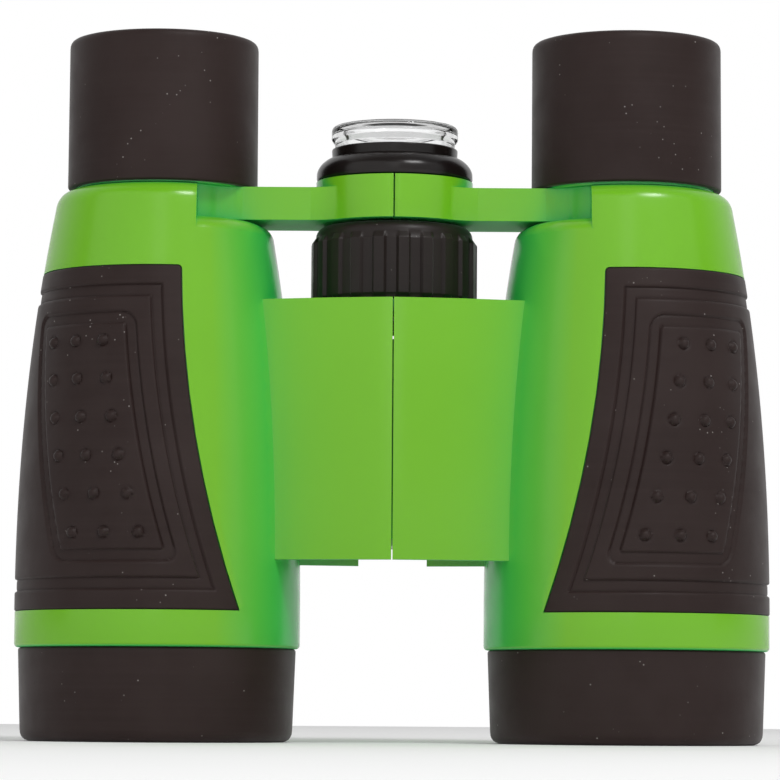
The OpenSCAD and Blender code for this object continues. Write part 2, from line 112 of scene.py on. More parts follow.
def lathe(name, outline, x=0, segments=120, shape=None, smooth_angle=35):
    """A closed outline turned about the vertical axis at x; shape(r, z, angle) may change the radius."""
    verts = []
    rings = []
    for r, z in outline:
        if r < ON_AXIS:
            rings.append([len(verts)] * segments)
            verts.append((x, 0, z))
            continue
        ring = []
        for k in range(segments):
            a = 2 * math.pi * k / segments
            rr = shape(r, z, a) if shape else r
            ring.append(len(verts))
            verts.append((x + rr * math.cos(a), rr * math.sin(a), z))
        rings.append(ring)
    faces = []
    for i, ring in enumerate(rings):
        following = rings[(i + 1) % len(rings)]
        if ring[0] == ring[1] and following[0] == following[1]:
            continue
        for k in range(segments):
            n = (k + 1) % segments
            corners = [ring[k], ring[n], following[n], following[k]]
            face = [c for j, c in enumerate(corners) if c != corners[j - 1]]
            if len(set(face)) >= 3:
                faces.append(face)
    return make_object(name, verts, faces, smooth_angle)


def box_strokes(name, strokes, width, low, high):
    """Flat bars from (x1, y1) to (x2, y2), joined into one mesh."""
    verts = []
    faces = []
    for x1, y1, x2, y2 in strokes:
        along = Vector((x2 - x1, y2 - y1)).normalized()
        across = Vector((-along.y, along.x)) * width / 2
        start = Vector((x1, y1)) - along * width / 2
        end = Vector((x2, y2)) + along * width / 2
        n = len(verts)
        for z in (low, high):
            for p in (start - across, end - across, end + across, start + across):
                verts.append((p.x, p.y, z))
        faces += [(n + 3, n + 2, n + 1, n), (n + 4, n + 5, n + 6, n + 7)]
        faces += [(n + k, n + (k + 1) % 4, n + 4 + (k + 1) % 4, n + 4 + k) for k in range(4)]
    return make_object(name, verts, faces, 30)


def soften(name, width, segments=3, angle=32):
    """Rounds the sharp edges of a part that keeps its CAD mesh."""
    obj = nodes[name]
    weld = obj.modifiers.new("weld", "WELD")
    weld.merge_threshold = WELD_DISTANCE * MM
    bevel = obj.modifiers.new("round", "BEVEL")
    bevel.width = width * MM
    bevel.segments = segments
    bevel.limit_method = "ANGLE"
    bevel.angle_limit = math.radians(angle)
    bevel.use_clamp_overlap = True
    bevel.harden_normals = False


# ---- Materials ----

# Pairs of linear colours, each the two ends between which a material drifts
GREEN_TONES = ((0.15, 0.455, 0.006), (0.16, 0.475, 0.009))
RUBBER_TONES = ((0.015, 0.0052, 0.004), (0.023, 0.0115, 0.010))
WHEEL_TONES = ((0.009, 0.005, 0.004), (0.015, 0.0095, 0.008))
GLOSS_TONES = ((0.006, 0.004, 0.004), (0.010, 0.007, 0.006))
MATT_TONES = ((0.008, 0.008, 0.008), (0.016, 0.015, 0.015))
STEEL_TONES = ((0.5, 0.5, 0.51), (0.66, 0.66, 0.67))
BRASS_TONES = ((0.62, 0.42, 0.16), (0.78, 0.58, 0.26))
CARD_TONES = ((0.80, 0.80, 0.77), (0.86, 0.86, 0.83))
INK_TONES = ((0.01, 0.01, 0.012), (0.03, 0.03, 0.032))
NEEDLE_TONES = ((0.75, 0.75, 0.72), (0.55, 0.015, 0.012))
FLOOR_TONES = ((0.95, 0.95, 0.95), (0.97, 0.97, 0.97))
# Painted shade: the deeper green painted where the surface faces the hinge, lies in a corner or faces
# down
PAINTED_SHADE_GREEN = (0.012, 0.5, 0.095)
PAINTED_SHADE_REACH = 14
UNDERSIDE_ROUGHNESS = 0.6
RUBBER_DUST = (0.2, 0.18, 0.17)
WHEEL_DUST = (0.12, 0.11, 0.1)
NEEDLE_SCUFFS = (0.2, 0.05, 0.04)
GLASS_TINT = (0.95, 0.985, 0.98)
CAP_TINT = (0.995, 0.998, 0.998)
PLASTIC_IOR = 1.5
RUBBER_IOR = 1.36
GLOSS_IOR = 1.38
GLASS_IOR = 1.52
CAP_IOR = 1.36
RUBBER_SHEEN = 0.14
RUBBER_SHEEN_ROUGHNESS = 0.35
RUBBER_ROUGHNESS = 0.56
WHEEL_ROUGHNESS = 0.42
INK_ROUGHNESS = 0.6
FLOOR_ROUGHNESS = 0.9
# Most values of a noise lie between these two
NOISE_LOW = 0.3
NOISE_HIGH = 0.7


class Graph:
    """Builds one material around its Principled shader."""

    def __init__(self, name):
        self.material = bpy.data.materials.new(name)
        self.material.use_nodes = True
        self.tree = self.material.node_tree
        self.shader = self.tree.nodes["Principled BSDF"]
        self.coords = self.add("ShaderNodeTexCoord").outputs["Object"]

    def add(self, kind, **settings):
        node = self.tree.nodes.new(kind)
        for key, value in settings.items():
            setattr(node, key, value)
        return node

    def link(self, source, target):
        self.tree.links.new(source, target)

    def set(self, **values):
        for key, value in values.items():
            self.shader.inputs[key.replace("_", " ")].default_value = value

    def noise(self, scale, detail=3, roughness=0.55, stretch=None):
        node = self.add("ShaderNodeTexNoise")
        node.inputs["Scale"].default_value = scale
        node.inputs["Detail"].default_value = detail
        node.inputs["Roughness"].default_value = roughness
        vector = self.coords
        if stretch:
            mapping = self.add("ShaderNodeMapping")
            mapping.inputs["Scale"].default_value = stretch
            self.link(vector, mapping.inputs["Vector"])
            vector = mapping.outputs["Vector"]
        self.link(vector, node.inputs["Vector"])
        return node.outputs["Fac"]

    def ramp(self, source, low, high, first, second):
        node = self.add("ShaderNodeMapRange")
        node.inputs["From Min"].default_value = low
        node.inputs["From Max"].default_value = high
        node.inputs["To Min"].default_value = first
        node.inputs["To Max"].default_value = second
        self.link(source, node.inputs["Value"])
        return node.outputs["Result"]

    def mix(self, factor, first, second):
        node = self.add("ShaderNodeMix", data_type="RGBA")
        self.link(factor, node.inputs["Factor"])
        for index, value in ((6, first), (7, second)):
            if isinstance(value, tuple):
                node.inputs[index].default_value = (*value, 1)
            else:
                self.link(value, node.inputs[index])
        return node.outputs[2]

    def bump(self, height, strength, distance):
        node = self.add("ShaderNodeBump")
        node.inputs["Strength"].default_value = strength
        node.inputs["Distance"].default_value = distance * MM
        self.link(height, node.inputs["Height"])
        self.link(node.outputs["Normal"], self.shader.inputs["Normal"])

    def math(self, operation, first, second):
        node = self.add("ShaderNodeMath", operation=operation)
        for socket, value in zip(node.inputs, (first, second)):
            if isinstance(value, (int, float)):
                socket.default_value = value
            else:
                self.link(value, socket)
        return node.outputs["Value"]

    def split(self, vector):
        """The X, Y and Z outputs of a vector."""
        node = self.add("ShaderNodeSeparateXYZ")
        self.link(vector, node.inputs["Vector"])
        return node.outputs

    def normal(self):
        """The X, Y and Z outputs of the surface's direction."""
        return self.split(self.add("ShaderNodeNewGeometry").outputs["Normal"])

    def facing_hinge(self):
        """Near 1 where a surface beside the hinge faces it, below 0 where it faces away."""
        side = self.ramp(self.split(self.coords)["X"], -BARREL_START * MM, BARREL_START * MM, 1, -1)
        return self.math("MULTIPLY", self.normal()["X"], side)

    def facing_down(self):
        """1 where the surface faces the floor, below 0 where it faces up."""
        return self.math("MULTIPLY", self.normal()["Z"], -1)

    def occlusion(self, distance):
        """1 in corners that other surfaces shade, 0 in the open."""
        node = self.add("ShaderNodeAmbientOcclusion", samples=8)
        node.inputs["Distance"].default_value = distance * MM
        return self.math("SUBTRACT", 1, node.outputs["AO"])

    def tone(self, noise, tones, low=NOISE_LOW, high=NOISE_HIGH):
        """A colour that drifts between two tones with a noise."""
        return self.mix(self.ramp(noise, low, high, 0, 1), *tones)

    def set_colour(self, colour):
        self.link(colour, self.shader.inputs["Base Color"])

    def set_roughness(self, noise, smooth, rough):
        """A roughness that drifts between two values with a noise."""
        self.link(self.ramp(noise, NOISE_LOW, NOISE_HIGH, smooth, rough), self.shader.inputs["Roughness"])


def moulded_green():
    g = Graph("green_plastic")
    body = g.tone(g.noise(28, 2), GREEN_TONES, 0.35, 0.65)
    # painted shade: the colour turns deeper green on sides facing the hinge, in corners found by ambient
    # occlusion, and on faces turned down
    turned = g.ramp(g.facing_hinge(), 0.45, 1.0, 0, 0.95)
    cornered = g.ramp(g.occlusion(PAINTED_SHADE_REACH), 0.08, 0.6, 0, 0.9)
    under = g.ramp(g.facing_down(), 0.4, 0.9, 0, 0.9)
    shaded = g.math("MAXIMUM", g.math("MAXIMUM", turned, cornered), under)
    g.set_colour(g.mix(shaded, body, PAINTED_SHADE_GREEN))
    gloss = g.ramp(g.noise(350, 4), NOISE_LOW, NOISE_HIGH, 0.2, 0.27)
    dull = g.math("MULTIPLY", under, UNDERSIDE_ROUGHNESS)
    g.link(g.math("MAXIMUM", gloss, dull), g.shader.inputs["Roughness"])
    g.set(IOR=PLASTIC_IOR)
    g.bump(g.noise(90, 2), 0.08, 0.05)
    return g.material


def specks(g, scale, size):
    """1 on scattered grains of dust, 0 elsewhere."""
    cells = g.add("ShaderNodeTexVoronoi", feature="F1")
    cells.inputs["Scale"].default_value = scale
    g.link(g.coords, cells.inputs["Vector"])
    grain = g.ramp(cells.outputs["Distance"], size * 0.6, size, 1, 0)
    # a slower noise keeps the grains only in some places
    place = g.ramp(g.noise(scale * 0.21, 1), 0.60, 0.64, 0, 1)
    return g.math("MULTIPLY", grain, place)


def soft_rubber(name, tones, dust, rough):
    """Cloudy and faintly streaked rubber or plastic with a few grains of dust."""
    g = Graph(name)
    clouds = g.tone(g.noise(60, 4), tones, 0.35, 0.7)
    lines = g.ramp(g.noise(240, 3, stretch=(0.12, 0.12, 6)), 0.42, 0.72, 0, 0.45)
    streaked = g.mix(lines, clouds, tones[1])
    grains = g.math("MAXIMUM", specks(g, 900, 0.13), specks(g, 520, 0.075))
    g.set_colour(g.mix(grains, streaked, dust))
    g.set_roughness(g.noise(220, 4), rough - 0.06, rough + 0.06)
    g.set(IOR=RUBBER_IOR, Sheen_Weight=RUBBER_SHEEN, Sheen_Roughness=RUBBER_SHEEN_ROUGHNESS)
    g.bump(g.noise(2600, 3), 0.25, 0.03)
    return g.material


def shiny_black():
    g = Graph("gloss_black")
    g.set_colour(g.tone(g.noise(120, 2), GLOSS_TONES))
    g.set_roughness(g.noise(400, 3), 0.2, 0.28)
    g.set(IOR=GLOSS_IOR)
    g.bump(g.noise(60, 2), 0.1, 0.05)
    return g.material


def matt_black():
    g = Graph("matt_black")
    g.set_colour(g.tone(g.noise(300, 3), MATT_TONES))
    g.set_roughness(g.noise(500, 3), 0.7, 0.85)
    return g.material


def clear_material(name, tint, ior, rough):
    g = Graph(name)
    g.set(Base_Color=(*tint, 1), IOR=ior, Transmission_Weight=1)
    g.set_roughness(g.noise(300, 2), rough * 0.5, rough)
    g.bump(g.noise(40, 2), 0.05, 0.03)
    return g.material


def turned_metal(name, tones, rough):
    """Metal with fine rings from the lathe."""
    g = Graph(name)
    lines = g.noise(900, 3, stretch=(0.12, 0.12, 1))
    g.set_colour(g.tone(lines, tones))
    g.set_roughness(lines, rough - 0.07, rough + 0.07)
    g.set(Metallic=1)
    g.bump(lines, 0.12, 0.02)
    return g.material


def printed_card():
    g = Graph("dial_card")
    g.set_colour(g.tone(g.noise(700, 4), CARD_TONES))
    g.set_roughness(g.noise(300, 3), 0.5, 0.65)
    return g.material


def print_ink():
    g = Graph("dial_ink")
    g.set_colour(g.tone(g.noise(900, 3), INK_TONES))
    g.set(Roughness=INK_ROUGHNESS)
    return g.material


def needle_enamel():
    """White on the half of the needle that points south, red on the other."""
    g = Graph("needle_paint")
    ends = g.tone(g.split(g.coords)["Y"], NEEDLE_TONES, -0.05 * MM, 0.05 * MM)
    g.set_colour(g.mix(g.ramp(g.noise(1500, 2), 0.62, 0.75, 0, 0.25), ends, NEEDLE_SCUFFS))
    g.set_roughness(g.noise(600, 2), 0.25, 0.4)
    return g.material


ink = print_ink()
by_slot = {
    "green_plastic": moulded_green(),
    "black_rubber": soft_rubber("black_rubber", RUBBER_TONES, RUBBER_DUST, RUBBER_ROUGHNESS),
    "wheel_plastic": soft_rubber("wheel_plastic", WHEEL_TONES, WHEEL_DUST, WHEEL_ROUGHNESS),
    "gloss_black": shiny_black(),
    "matt_black": matt_black(),
    "lens_glass": clear_material("lens_glass", GLASS_TINT, GLASS_IOR, 0.02),
    "clear_plastic": clear_material("clear_plastic", CAP_TINT, CAP_IOR, 0.03),
    "steel": turned_metal("steel", STEEL_TONES, 0.3),
    "brass": turned_metal("brass", BRASS_TONES, 0.28),
    "dial_card": printed_card(),
    "needle_paint": needle_enamel(),
}


def use(obj, material):
    obj.data.materials.clear()
    obj.data.materials.append(material)


def replace(obj, node, slot_name):
    """The piece stands for a CAD node: it rides its body and takes its slot's finish."""
    body = next(b for b, members in frame["record"]["behaviour"]["bodies"].items() if node in members)
    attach(obj, body)
    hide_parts(node)
    use(obj, by_slot[slot_name])


for part in frame["record"]["subparts"]:
    use(nodes[part["node"]], by_slot[part["material_slot"]])


# ---- Rubber pads ----

PAD_LOW = 19.6
PAD_HIGH = 71.2
PAD_PROUD = 0.05
PAD_SINK = 0.7
PAD_EDGE_ROUND = 0.3
PAD_CORNER = 0.7
PAD_EDGE_TOP = 4.13
PAD_EDGE_SLOPE = 0.0135
PAD_EDGE_CURVE = 0.00317
PAD_ROWS = 230
PAD_COLUMNS = 380
PAD_EDGE_COLUMNS = 80
PAD_PATTERN_REACH = 10.4
CHANNEL_DEPTH = 0.3
CHANNEL_WALL = 0.24
CREASE_DEPTH = 0.18
CREASE_WIDTH = 0.16
OUTER_CHANNEL = (3.0, 4.7)
INNER_CHANNEL = (7.1, 8.8)
INNER_CORNER = 2.2
CLOSING_ANGLE = 66
CLOSING_TOP_Z = 64
CLOSING_SLOPE = 0.47
CLOSING_CURVE = 0.0047
DOME_R = 0.85
DOME_H = 0.6
DOME_ROWS = 6
DOME_TOP_Z = 59.8
DOME_PITCH = 5.76
# Angles of the three columns of domes in the top row; lower rows drift towards the front, more and more
DOME_COLUMNS = (22.7, 37, 51.3)
DOME_DRIFT = 2.3
DOME_DRIFT_GROWTH = 0.27
DOME_FOOT = 0.25
PAD_ROW_CROWDING = 1.12


def barrel_r(z):
    rise = np.maximum(0, z - BAND_TOP) / (WAIST_Z - BAND_TOP)
    return FRONT_R - (FRONT_R - WAIST_R) * rise ** SWELL


def pad_edge_x(z):
    """Distance of the pad's inner edge from the optical axis, towards the hinge."""
    down = PAD_HIGH - z
    return PAD_EDGE_TOP + PAD_EDGE_SLOPE * down + PAD_EDGE_CURVE * down ** 2


def smooth_step(value, low, high):
    t = np.clip((value - low) / (high - low), 0, 1)
    return t * t * (3 - 2 * t)


def trench(distance, limits):
    """1 inside a channel between two distances, with sloping walls."""
    half = CHANNEL_WALL / 2
    near, far = limits
    return (smooth_step(distance, near - half, near + half)
            * (1 - smooth_step(distance, far - half, far + half)))


def creases(distance, limits):
    """Narrow furrows along both walls of a channel."""
    near, far = limits
    return (np.exp(-((distance - near) / CREASE_WIDTH) ** 2)
            + np.exp(-((distance - far) / CREASE_WIDTH) ** 2))


def corner_distance(a, b, radius):
    """Distance inside a corner formed by two edges at distances a and b, with a rounded inside."""
    near = np.minimum(a, b)
    ca = np.maximum(radius - a, 0)
    cb = np.maximum(radius - b, 0)
    return np.where((a < radius) & (b < radius), radius - np.hypot(ca, cb), near)


def pad_height(z, front_angle, side_gap, end_gap):
    """Height of the pad's pattern above its plain surface."""
    edge = np.minimum(side_gap, end_gap)
    height = -CHANNEL_DEPTH * trench(edge, OUTER_CHANNEL) - CREASE_DEPTH * creases(edge, OUTER_CHANNEL)
    # the inner channel follows the edges and closes along a curve on the outer side
    below = CLOSING_TOP_Z - z
    close_angle = CLOSING_ANGLE - CLOSING_SLOPE * below - CLOSING_CURVE * below ** 2
    closing = np.radians(close_angle - front_angle) * barrel_r(z)
    inner_side = np.minimum(side_gap - INNER_CHANNEL[0], closing)
    inner_end = end_gap - INNER_CHANNEL[0]
    inside = corner_distance(inner_side, inner_end, INNER_CORNER)
    inner_channel = (0, INNER_CHANNEL[1] - INNER_CHANNEL[0])
    height = height - CHANNEL_DEPTH * trench(inside, inner_channel)
    height = height - CREASE_DEPTH * creases(inside, inner_channel)
    for row in range(DOME_ROWS):
        row_z = DOME_TOP_Z - DOME_PITCH * row
        for start in DOME_COLUMNS:
            angle = start - DOME_DRIFT * row - DOME_DRIFT_GROWTH * row * row
            away = np.hypot(np.radians(front_angle - angle) * barrel_r(z), z - row_z)
            bump = 1 - np.clip(away / DOME_R, 0, 1) ** 2
            height = height + DOME_H * np.sqrt(bump) * smooth_step(bump, 0, DOME_FOOT)
            height = height - CREASE_DEPTH * np.exp(-((away - DOME_R) / CREASE_WIDTH) ** 2)
    return height


def make_pad(name, side):
    v = np.linspace(0, 1, PAD_ROWS + 1)[:, None]
    # rows and columns are closer together at the pad's rim
    v = 0.5 + 0.5 * np.sign(v - 0.5) * (1 - (1 - np.abs(2 * v - 1)) ** PAD_ROW_CROWDING)
    z = PAD_LOW + (PAD_HIGH - PAD_LOW) * v
    surface = barrel_r(z)
    from_top = np.clip(1 - (PAD_HIGH - z) / PAD_CORNER, 0, 1)
    edge_x = pad_edge_x(z) - PAD_CORNER * (1 - np.sqrt(1 - from_top ** 2))
    side_limit = np.arccos(np.clip(-edge_x / surface, -1, 1))
    # near both side edges the columns keep a fixed distance from the edge, so they run along the pattern
    middle = side_limit - PAD_PATTERN_REACH / surface
    edge_steps = np.linspace(0, 1, PAD_EDGE_COLUMNS, endpoint=False)[None, :]
    near_edge = side_limit - edge_steps * (side_limit - middle)
    centre = middle * np.linspace(-1, 1, PAD_COLUMNS - 2 * PAD_EDGE_COLUMNS + 1)[None, :]
    angle = np.concatenate([-near_edge, centre, near_edge[:, ::-1]], axis=1)
    z = z + 0 * angle
    surface = surface + 0 * angle
    side_gap = (side_limit - np.abs(angle)) * surface
    end_gap = np.minimum(z - PAD_LOW, PAD_HIGH - z)
    front_angle = 90 - np.degrees(np.abs(angle))
    height = pad_height(z, front_angle, side_gap, end_gap)
    rim = np.clip(1 - np.minimum(side_gap, end_gap) / PAD_EDGE_ROUND, 0, 1)
    outer = surface + PAD_PROUD + height - PAD_EDGE_ROUND * (1 - np.sqrt(1 - rim ** 2))
    inner = surface - PAD_SINK
    verts = []
    for radius in (outer, inner):
        x = side * (EYE_X + radius * np.cos(angle))
        y = radius * np.sin(angle)
        verts += np.stack([x, y, z], axis=-1).reshape(-1, 3).tolist()
    across = PAD_COLUMNS + 1
    layer = (PAD_ROWS + 1) * across
    faces = []
    for i in range(PAD_ROWS):
        for j in range(PAD_COLUMNS):
            a = i * across + j
            quad = (a, a + 1, a + across + 1, a + across)
            faces.append(quad)
            faces.append(tuple(layer + k for k in reversed(quad)))
    loop = [j for j in range(PAD_COLUMNS)]
    loop += [i * across + PAD_COLUMNS for i in range(PAD_ROWS)]
    loop += [PAD_ROWS * across + j for j in range(PAD_COLUMNS, 0, -1)]
    loop += [i * across for i in range(PAD_ROWS, 0, -1)]
    for k, a in enumerate(loop):
        b = loop[(k + 1) % len(loop)]
        faces.append((a, b, layer + b, layer + a))
    pad = make_object(name, verts, faces, 50)
    replace(pad, name.replace("pad", "grip"), "black_rubber")


make_pad("left_pad", -1)
make_pad("right_pad", 1)


# ---- Objective rings and eyecups ----

RING_H = 14.1
RING_R = 21.2
RING_FOOT_R = 20.7
SPIGOT_R = 19
SPIGOT_LOW = 4
HOOD_R = 17
TUBE_R = 12
NECK_R = 13.5
CUP_R = 14.65
CUP_H = 23.2
CUP_LIP_R = 11
CUP_NECK_ROOM = 0.7
TUBE_TOP = 102.3
CUP_TAPER = 0.05
CUP_LOW = {"left": 84.6, "right": 84.75}
# Fillets of the rubber, from the hardly broken inner edges to the broad foot
INNER_EDGE_ROUND = 0.1
JOINT_EDGE_ROUND = 0.45
HOOD_LIP_ROUND = 0.7
CUP_LIP_ROUND = 0.9
CUP_TOP_ROUND = 1.3
RING_FOOT_ROUND = 1.9
RUBBER_ARC_STEPS = 6
RING_SEGMENTS = 160
SMALL_SEGMENTS = 144


def ring_outline():
    bore = SPIGOT_R + RUBBER_GAP
    shelf = SPIGOT_LOW - RUBBER_GAP
    return rounded([(HOOD_R, 0, HOOD_LIP_ROUND), (RING_FOOT_R, 0, RING_FOOT_ROUND),
                    (RING_R, RING_H, JOINT_EDGE_ROUND), (bore, RING_H, INNER_EDGE_ROUND),
                    (bore, shelf, 0), (HOOD_R, shelf, 0)], RUBBER_ARC_STEPS)


def cup_outline(low):
    high = low + CUP_H
    neck_top = low + CUP_NECK_ROOM
    tube = TUBE_R + RUBBER_GAP
    neck = NECK_R + RUBBER_GAP
    shelf = TUBE_TOP + RUBBER_GAP
    return rounded([(tube, neck_top, 0), (neck, neck_top, 0), (neck, low, INNER_EDGE_ROUND),
                    (CUP_R, low, JOINT_EDGE_ROUND), (CUP_R - CUP_TAPER, high, CUP_TOP_ROUND),
                    (CUP_LIP_R, high, CUP_LIP_ROUND), (CUP_LIP_R, shelf, 0), (tube, shelf, 0)],
                   RUBBER_ARC_STEPS)


for side_name, side in (("left", -1), ("right", 1)):
    ring = lathe(f"{side_name}_hood_ring", ring_outline(), side * EYE_X, RING_SEGMENTS)
    replace(ring, f"{side_name}_objective_ring", "black_rubber")
    cup = lathe(f"{side_name}_rubber_cup", cup_outline(CUP_LOW[side_name]), side * EYE_X, SMALL_SEGMENTS)
    replace(cup, f"{side_name}_eyecup", "black_rubber")


# ---- Focus wheel and screw ----

WHEEL_R = 12.8
WHEEL_LOW = 67.2
WHEEL_TOP = 79
RIB_TOP = 77.2
RIB_DEPTH = 0.5
RIM_R = 12.1
RIM_ROUND = 1.7
RIBS = 21
RIB_FILL = 0.5
RIB_TURN = 0.15
RIB_FLANK = 0.2
RIB_SEGMENTS = 20
RIB_END = 0.9
RIM_STEP = 0.02
RIM_ARC_STEPS = 6
WHEEL_CHAMFER = 0.7
WHEEL_CHAMFER_H = 0.6
WHEEL_NECK_R = 4.5
WHEEL_NECK_LOW = 62.7
CLIP_GROOVE_R = 3.7
CLIP_Z = 63.9
CLIP_GROOVE_H = 0.9
SCREW_BORE_R = 2.46
SCREW_R = 2.4
SCREW_LOW = 66
THREAD_DEPTH = 0.28
THREAD_PITCH = 2
THREAD_LEAD = 4
THREAD_ROOT = 0.3
THREAD_FLANK = 0.35
THREAD_STEPS = 110
SCREW_START = 0.3
SCREW_POINT = 0.4
SCREW_SEGMENTS = 64


def rib_shape(r, z, angle):
    """Lowers the wheel's side between the ribs and rounds the ribs off at their tops."""
    if r < RIM_R + HAIR or z < WHEEL_LOW + HAIR:
        return r
    phase = abs(((angle * RIBS / (2 * math.pi) - RIB_TURN + 0.5) % 1) - 0.5) * 2
    flank = min(1, max(0, (RIB_FILL + RIB_FLANK / 2 - phase) / RIB_FLANK))
    rib = flank * flank * (3 - 2 * flank)
    return max(RIM_R, r - RIB_DEPTH * (1 - rib))


def wheel_outline():
    """From the neck with its clip groove, up the ribs, over the plain rim and back to the bore."""
    clip_top = CLIP_Z + CLIP_GROOVE_H
    neck = [(SCREW_BORE_R, WHEEL_NECK_LOW, 0.15), (WHEEL_NECK_R, WHEEL_NECK_LOW, 0.25),
            (WHEEL_NECK_R, CLIP_Z, 0), (CLIP_GROOVE_R, CLIP_Z, 0),
            (CLIP_GROOVE_R, clip_top, 0), (WHEEL_NECK_R, clip_top, 0), (WHEEL_NECK_R, WHEEL_LOW, 0)]
    ribs = [(WHEEL_R - WHEEL_CHAMFER, WHEEL_LOW, 0.05), (WHEEL_R, WHEEL_LOW + WHEEL_CHAMFER_H, 0.4),
            (WHEEL_R, RIB_TOP - RIB_END, 0.5), (RIM_R + RIM_STEP, RIB_TOP + 0.05, 0.1)]
    rim = []
    for k in range(RIM_ARC_STEPS + 1):
        t = math.radians(90 * k / RIM_ARC_STEPS)
        rim.append((RIM_R - RIM_ROUND * (1 - math.cos(t)), WHEEL_TOP - RIM_ROUND * (1 - math.sin(t)), 0))
    return rounded(neck + ribs + rim + [(SCREW_BORE_R, WHEEL_TOP, 0.3)], 5)


wheel = lathe("ribbed_wheel", wheel_outline(), 0, RIBS * RIB_SEGMENTS, rib_shape, 40)
replace(wheel, "focus_wheel", "wheel_plastic")

ARM_LOW = 79.4
FLANGE_R = 4
FLANGE_TOP = 80.4
FOOT_LOW = 86.15
STUD_TOP = 88.05
STUD_R = 2
FLANGE_GAP = 0.1
CHAMFER = 0.2


def thread_shape(r, z, angle):
    """Trapezoidal ridges that climb by one lead per turn."""
    if r < SCREW_R - HAIR or z < SCREW_LOW + SCREW_START or z > ARM_LOW:
        return r
    phase = abs(((z / THREAD_PITCH - angle * THREAD_LEAD / THREAD_PITCH / (2 * math.pi)) % 1) - 0.5) * 2
    crest = min(1, max(0, (phase - THREAD_ROOT) / THREAD_FLANK))
    return r - THREAD_DEPTH * (1 - crest)


def screw_outline():
    """Up the thread, around the flange under the arms and along the stud to its top."""
    flange_low = ARM_LOW + FLANGE_GAP
    thread_length = ARM_LOW - SCREW_LOW - SCREW_START
    points = [(0, SCREW_LOW), (SCREW_R - SCREW_POINT, SCREW_LOW)]
    for k in range(THREAD_STEPS + 1):
        points.append((SCREW_R, SCREW_LOW + SCREW_START + thread_length * k / THREAD_STEPS))
    flange = [(SCREW_R, flange_low), (FLANGE_R - CHAMFER, flange_low), (FLANGE_R, flange_low + CHAMFER),
              (FLANGE_R, FLANGE_TOP), (SCREW_R, FLANGE_TOP)]
    stud = [(SCREW_R, FOOT_LOW - HAIR), (STUD_R, FOOT_LOW), (STUD_R, STUD_TOP - CHAMFER),
            (STUD_R - CHAMFER, STUD_TOP), (0, STUD_TOP)]
    return points + flange + stud


screw = lathe("threaded_screw", screw_outline(), 0, SCREW_SEGMENTS, thread_shape, 40)
replace(screw, "focus_screw", "steel")


# ---- Compass ----

COMPASS_R = 12.05
FOOT_HIGH = 89.65
FOOT_FLOOR_H = 0.8
FOOT_BORE_R = 8
FOOT_TOP_R = 10
FOOT_FLARE = 1.6
COLLAR_R = 9.75
COLLAR_TOP = 91.2
BOWL_FLOOR = 88.1
BOWL_FLOOR_H = 0.7
BOWL_R = 7.2
STEM_R = 7.95
COVER_R = 9.8
COVER_TOP = 94.8
COVER_STEP_R = 9.3
COVER_WALL = 1.2
COVER_ROOF = 0.9
DIAL_TOP = 89.2
STUD_GAP = 0.02
FOOT_BELT = 0.9
FOOT_EDGE = 0.35
FOOT_SMALL_EDGE = 0.1
FLARE_STEPS = 14
COLLAR_TAPER = 0.1
BOWL_FUNNEL = 0.6
COVER_STEP_H = 0.75
COVER_SHOULDER_H = 0.7


def foot_outline():
    """A flat floor with a broad belt around it, flaring in to the collar."""
    bore = STUD_R + STUD_GAP
    floor = FOOT_LOW + FOOT_FLOOR_H
    edge = [(bore, FOOT_LOW), (COMPASS_R - FOOT_EDGE, FOOT_LOW),
            (COMPASS_R - FOOT_SMALL_EDGE, FOOT_LOW + FOOT_SMALL_EDGE), (COMPASS_R, FOOT_LOW + FOOT_EDGE)]
    flare = []
    for k in range(FLARE_STEPS + 1):
        a = math.pi / 2 * k / FLARE_STEPS
        r = FOOT_TOP_R + (COMPASS_R - FOOT_TOP_R) * max(0, math.cos(a)) ** FOOT_FLARE
        flare.append((r, FOOT_LOW + FOOT_BELT + (FOOT_HIGH - FOOT_LOW - FOOT_BELT) * math.sin(a)))
    inside = [(FOOT_BORE_R + FOOT_SMALL_EDGE, FOOT_HIGH), (FOOT_BORE_R, FOOT_HIGH - FOOT_SMALL_EDGE),
              (FOOT_BORE_R, floor), (bore, floor)]
    return edge + flare + inside


def bowl_outline():
    """A stem in the foot, with the dark collar around its top and a funnel down to the dial."""
    floor = BOWL_FLOOR + BOWL_FLOOR_H
    wall = rounded([(STEM_R, BOWL_FLOOR, 0.2), (STEM_R, FOOT_HIGH, 0),
                    (COLLAR_R - COLLAR_TAPER, FOOT_HIGH, 0.15), (COLLAR_R, COLLAR_TOP, 0.3),
                    (COVER_STEP_R - COVER_WALL, COLLAR_TOP, 0.1), (BOWL_R, FOOT_HIGH + BOWL_FUNNEL, 0),
                    (BOWL_R, floor, 0.15)], 4)
    return [(0, BOWL_FLOOR)] + wall[1:] + [(0, floor)]


def cover_outline():
    """A clear cap with a narrower step at its foot and a well rounded top."""
    step_top = COLLAR_TOP + COVER_STEP_H
    shoulder = step_top + COVER_SHOULDER_H
    inner = COVER_STEP_R - COVER_WALL
    roof = COVER_TOP - COVER_ROOF
    return rounded([(0, roof, 0), (inner, roof, 0.6), (inner, COLLAR_TOP, 0.1),
                    (COVER_STEP_R, COLLAR_TOP, 0.1), (COVER_STEP_R, step_top, 0.3),
                    (COVER_R, shoulder, 0.5), (COVER_R, COVER_TOP, 0.95), (0, COVER_TOP, 0)], 6)


foot = lathe("glossy_foot", foot_outline(), 0, SMALL_SEGMENTS)
replace(foot, "compass_foot", "gloss_black")
bowl = lathe("compass_collar", bowl_outline(), 0, SMALL_SEGMENTS)
replace(bowl, "compass_bowl", "gloss_black")
cover = lathe("clear_cap", cover_outline(), 0, SMALL_SEGMENTS)
replace(cover, "compass_cover", "clear_plastic")

